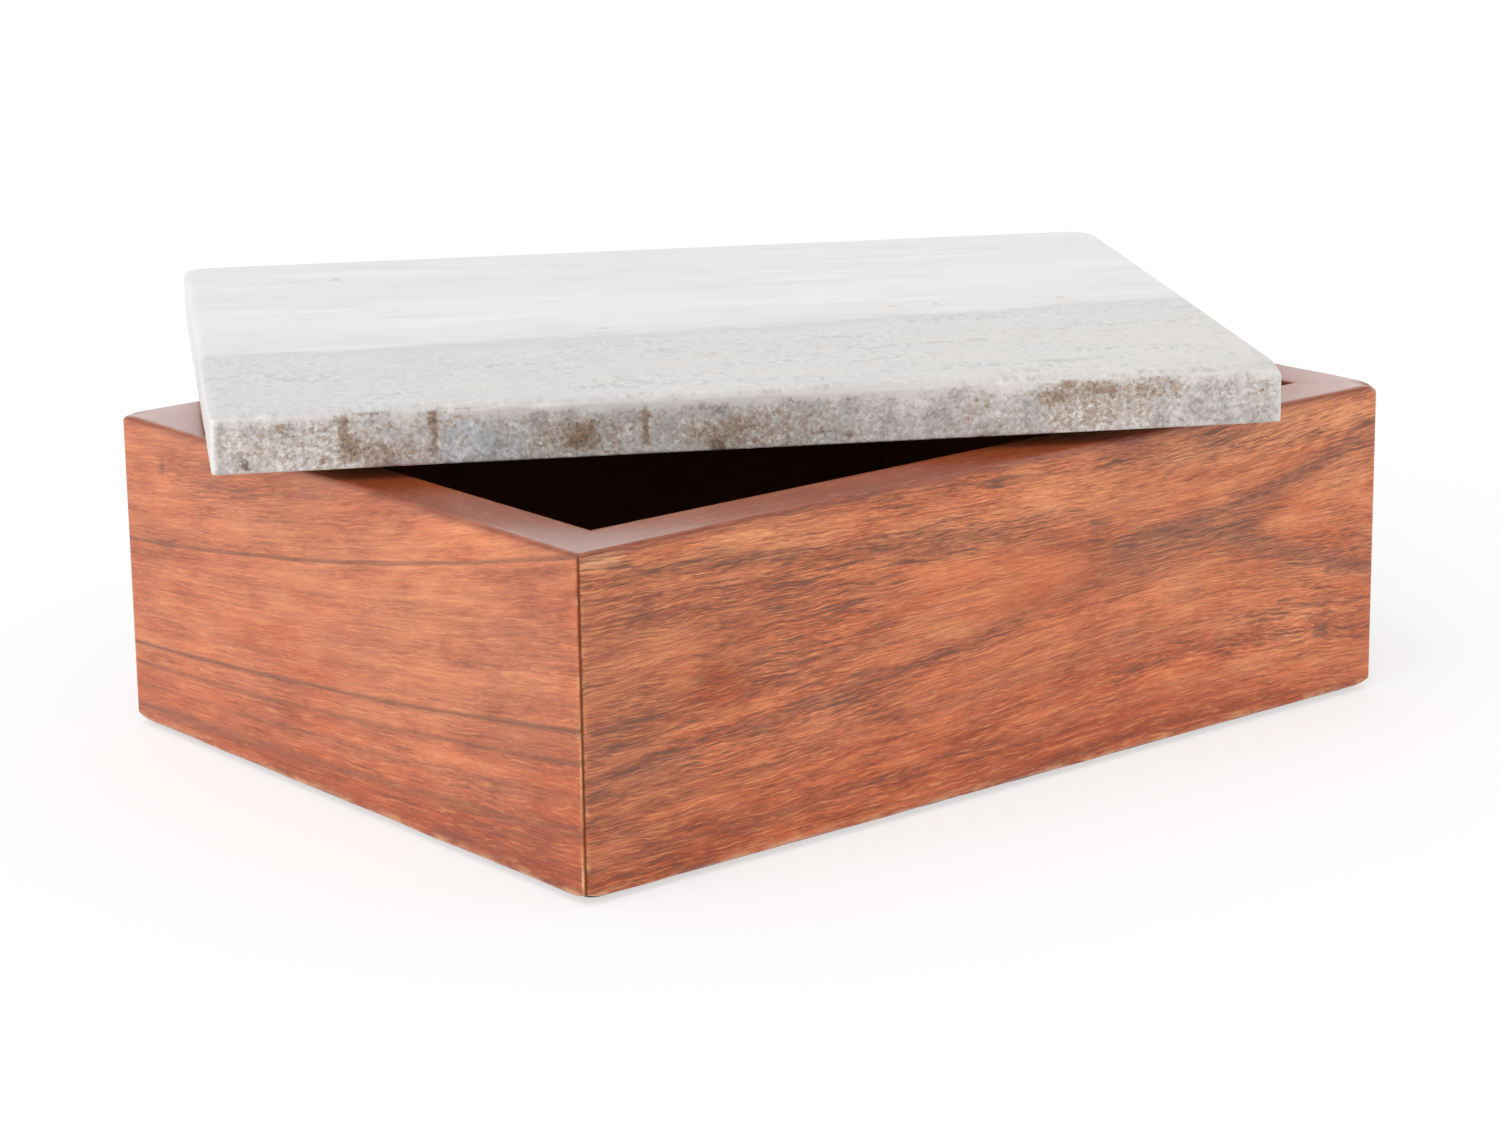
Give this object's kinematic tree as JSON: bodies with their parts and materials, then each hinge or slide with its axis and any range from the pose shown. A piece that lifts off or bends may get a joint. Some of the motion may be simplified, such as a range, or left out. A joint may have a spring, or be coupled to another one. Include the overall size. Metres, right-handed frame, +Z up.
{
  "type": "storage box",
  "caption": "Rectangular mitred hardwood storage box with a grooved-in base and a loose grey marble slab lid that lies askew on the rim and lifts off.",
  "frame": {"origin": "middle of the box's underside, on the felt that it rests on; the lid lies askew, so the whole part's box is not centred on it", "axes": "+Z up, +X along the box's length, -Y out of the front wall"},
  "size_m": [0.3074, 0.2836, 0.096],
  "materials": {
    "hardwood": "satin",
    "plain_wood": "matte",
    "marble": "polished",
    "felt": "matte"
  },
  "bodies": {
    "box": {"front_wall": "hardwood", "right_wall": "hardwood", "back_wall": "hardwood", "left_wall": "hardwood", "spline_front_left": "plain_wood", "spline_front_right": "plain_wood", "spline_back_left": "plain_wood", "spline_back_right": "plain_wood", "base_panel": "hardwood", "felt_sheet": "felt"},
    "lid": {"lid_slab": "marble", "lid_panel": "plain_wood"}
  },
  "joints": [
    {"name": "lid_lift", "type": "slide", "parent": "box", "child": "lid", "axis": [0, 0, 1], "range_m": [0, 0.15]}
  ]
}
